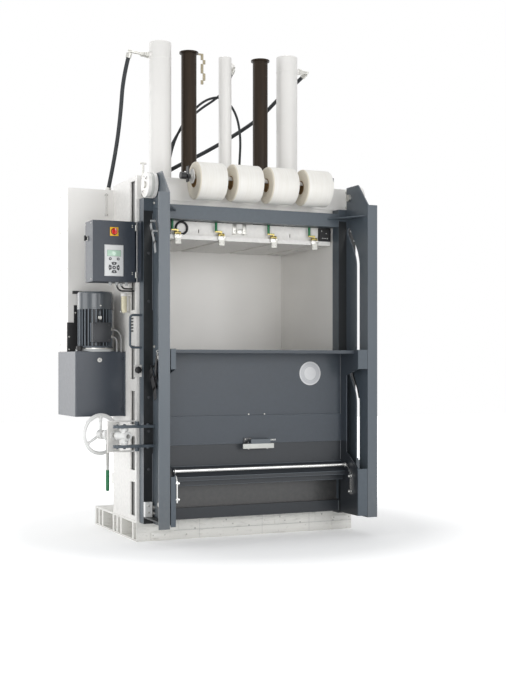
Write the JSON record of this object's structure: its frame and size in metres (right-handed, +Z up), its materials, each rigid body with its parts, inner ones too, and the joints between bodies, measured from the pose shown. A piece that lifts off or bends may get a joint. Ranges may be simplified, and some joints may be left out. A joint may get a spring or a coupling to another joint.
{
  "type": "vertical recycling baler",
  "caption": "Vertical recycling baler with a twin-cylinder press, a sliding loading flap, a lockable bale door, strap rolls and a side power pack.",
  "frame": {"origin": "on the floor, at the centre of the base frame's footprint", "axes": "+X to the right of someone who faces the loading opening, +Y to the back, +Z up"},
  "size_m": [1.826, 1.245, 3.147],
  "materials": {
    "base_paint": "satin light grey paint",
    "box_paint": "fine textured dark grey paint",
    "bronze_steel": "dark oiled steel",
    "clamp_brass": "yellow passivated",
    "grip_green": "green plastic grip on steel",
    "hose_rubber": "black rubber",
    "machine_steel": "turned steel",
    "motor_black": "matt black paint",
    "motor_plastic": "black plastic",
    "pad_grey": "light grey film",
    "panel_paint": "satin dark grey paint",
    "post_paint": "satin blue grey paint",
    "rod_chrome": "hard chromed",
    "strap_white": "woven white strap",
    "switch_red": "red plastic",
    "wheel_paint": "light grey paint",
    "white_paint": "satin white paint",
    "zinc_steel": "zinc plated steel"
  },
  "bodies": {
    "frame": {"base_frame": "base_paint", "floor_plate": "panel_paint", "side_columns": "white_paint", "side_sheets": "white_paint", "rear_wall": "white_paint", "crosshead": "white_paint", "press_cylinders": "white_paint", "middle_cylinder": "white_paint", "hose_fittings": "zinc_steel", "hose_left": "hose_rubber", "hose_right": "hose_rubber", "hose_middle": "hose_rubber", "hose_arch": "hose_rubber", "frame_hinges": "post_paint", "column_fittings": "zinc_steel", "roll_holder": "white_paint", "tank": "box_paint", "cap_and_filter": "zinc_steel", "motor_body": "motor_black", "motor_cowl": "motor_plastic", "side_cabinet": "white_paint", "back_plate": "motor_black", "control_box": "box_paint", "control_gear": "pad_grey"},
    "platen": {"platen": "white_paint", "guide_columns": "bronze_steel", "cam_bar": "zinc_steel", "piston_rods": "rod_chrome", "clamp_bases": "clamp_brass"},
    "clamp_lever_1": {"clamp_lever_1": "grip_green"},
    "clamp_lever_2": {"clamp_lever_2": "grip_green"},
    "clamp_lever_3": {"clamp_lever_3": "grip_green"},
    "clamp_lever_4": {"clamp_lever_4": "grip_green"},
    "door": {"door_frame": "post_paint", "door_panel": "panel_paint", "door_cheeks": "post_paint", "drum_axles": "zinc_steel", "door_fittings": "post_paint", "door_hinges": "post_paint", "lock_arms": "post_paint", "lock_block": "wheel_paint"},
    "flap": {"flap": "panel_paint", "guide_pins": "zinc_steel", "flap_handle": "machine_steel", "guard_rail": "post_paint"},
    "drum_left": {"drum_left": "white_paint"},
    "drum_right": {"drum_right": "white_paint"},
    "lock_carriage": {"lock_housing": "wheel_paint"},
    "handwheel": {"handwheel": "wheel_paint", "lock_spindle": "machine_steel"},
    "ratchet_lever": {"ratchet_lever": "machine_steel"},
    "strap_roll_1": {"strap_roll_1": "strap_white"},
    "strap_roll_2": {"strap_roll_2": "strap_white"},
    "strap_roll_3": {"strap_roll_3": "strap_white"},
    "strap_roll_4": {"strap_roll_4": "strap_white"},
    "motor_fan": {"motor_fan": "motor_plastic"},
    "control_door": {"control_door": "box_paint", "panel_plates": "pad_grey"},
    "switch_knob": {"switch_knob": "switch_red"},
    "box_lock": {"box_lock": "motor_plastic"}
  },
  "joints": [
    {"name": "platen_slide", "type": "slide", "parent": "frame", "child": "platen", "axis": [0, 0, 1], "range_m": [-0.8, 0]},
    {"name": "clamp_lever_1_tip", "type": "hinge", "parent": "platen", "child": "clamp_lever_1", "pos_m": [-0.47, -0.428, 1.883], "axis": [1, 0, 0], "range_deg": [0, 80]},
    {"name": "clamp_lever_2_tip", "type": "hinge", "parent": "platen", "child": "clamp_lever_2", "pos_m": [-0.18, -0.428, 1.883], "axis": [1, 0, 0], "range_deg": [0, 80]},
    {"name": "clamp_lever_3_tip", "type": "hinge", "parent": "platen", "child": "clamp_lever_3", "pos_m": [0.18, -0.428, 1.883], "axis": [1, 0, 0], "range_deg": [0, 80]},
    {"name": "clamp_lever_4_tip", "type": "hinge", "parent": "platen", "child": "clamp_lever_4", "pos_m": [0.47, -0.428, 1.883], "axis": [1, 0, 0], "range_deg": [0, 80]},
    {"name": "door_swing", "type": "hinge", "parent": "frame", "child": "door", "pos_m": [0.752, -0.488, 1], "axis": [0, 0, 1], "range_deg": [0, 110]},
    {"name": "flap_slide", "type": "slide", "parent": "door", "child": "flap", "axis": [0, 0, 1], "range_m": [0, 0.57]},
    {"name": "drum_left_turn", "type": "hinge", "parent": "door", "child": "drum_left", "pos_m": [-0.702, -0.567, 2.143], "axis": [1, 0, 0], "range_deg": [0, 475]},
    {"name": "drum_right_turn", "type": "hinge", "parent": "door", "child": "drum_right", "pos_m": [0.702, -0.567, 2.143], "axis": [1, 0, 0], "range_deg": [0, 475]},
    {"name": "lock_travel", "type": "slide", "parent": "frame", "child": "lock_carriage", "axis": [0.2924, -0.9563, 0], "range_m": [0, 0.03]},
    {"name": "handwheel_turn", "type": "hinge", "parent": "lock_carriage", "child": "handwheel", "pos_m": [-0.92026, -0.2971, 0.648], "axis": [0.2924, -0.9563, 0], "range_deg": [0, 1800]},
    {"name": "ratchet_lever_swing", "type": "hinge", "parent": "lock_carriage", "child": "ratchet_lever", "pos_m": [-0.89804, -0.36978, 0.648], "axis": [0.2924, -0.9563, 0], "range_deg": [-60, 25]},
    {"name": "strap_roll_1_turn", "type": "hinge", "parent": "frame", "child": "strap_roll_1", "pos_m": [-0.3195, -0.567, 2.188], "axis": [1, 0, 0], "continuous": true},
    {"name": "strap_roll_2_turn", "type": "hinge", "parent": "frame", "child": "strap_roll_2", "pos_m": [-0.0795, -0.567, 2.188], "axis": [1, 0, 0], "continuous": true},
    {"name": "strap_roll_3_turn", "type": "hinge", "parent": "frame", "child": "strap_roll_3", "pos_m": [0.1605, -0.567, 2.188], "axis": [1, 0, 0], "continuous": true},
    {"name": "strap_roll_4_turn", "type": "hinge", "parent": "frame", "child": "strap_roll_4", "pos_m": [0.4005, -0.567, 2.188], "axis": [1, 0, 0], "continuous": true},
    {"name": "fan_turn", "type": "hinge", "parent": "frame", "child": "motor_fan", "pos_m": [-0.896, -0.095, 1.47], "axis": [0, 0, 1], "continuous": true},
    {"name": "control_door_swing", "type": "hinge", "parent": "frame", "child": "control_door", "pos_m": [-0.743, -0.444, 1.7525], "axis": [0, 0, 1], "range_deg": [0, 90]},
    {"name": "main_switch_turn", "type": "hinge", "parent": "control_door", "child": "switch_knob", "pos_m": [-0.879, -0.45, 1.87], "axis": [0, 1, 0], "range_deg": [0, 90]},
    {"name": "box_lock_turn", "type": "hinge", "parent": "frame", "child": "box_lock", "pos_m": [-1.011, -0.318, 1.836], "axis": [1, 0, 0], "range_deg": [0, 90]}
  ],
  "couplings": [
    {"joint": "drum_left_turn", "follows": "flap_slide", "rad_per_m": 14.286},
    {"joint": "drum_right_turn", "follows": "flap_slide", "rad_per_m": 14.286},
    {"joint": "lock_travel", "follows": "handwheel_turn", "m_per_rad": 0.00095}
  ]
}
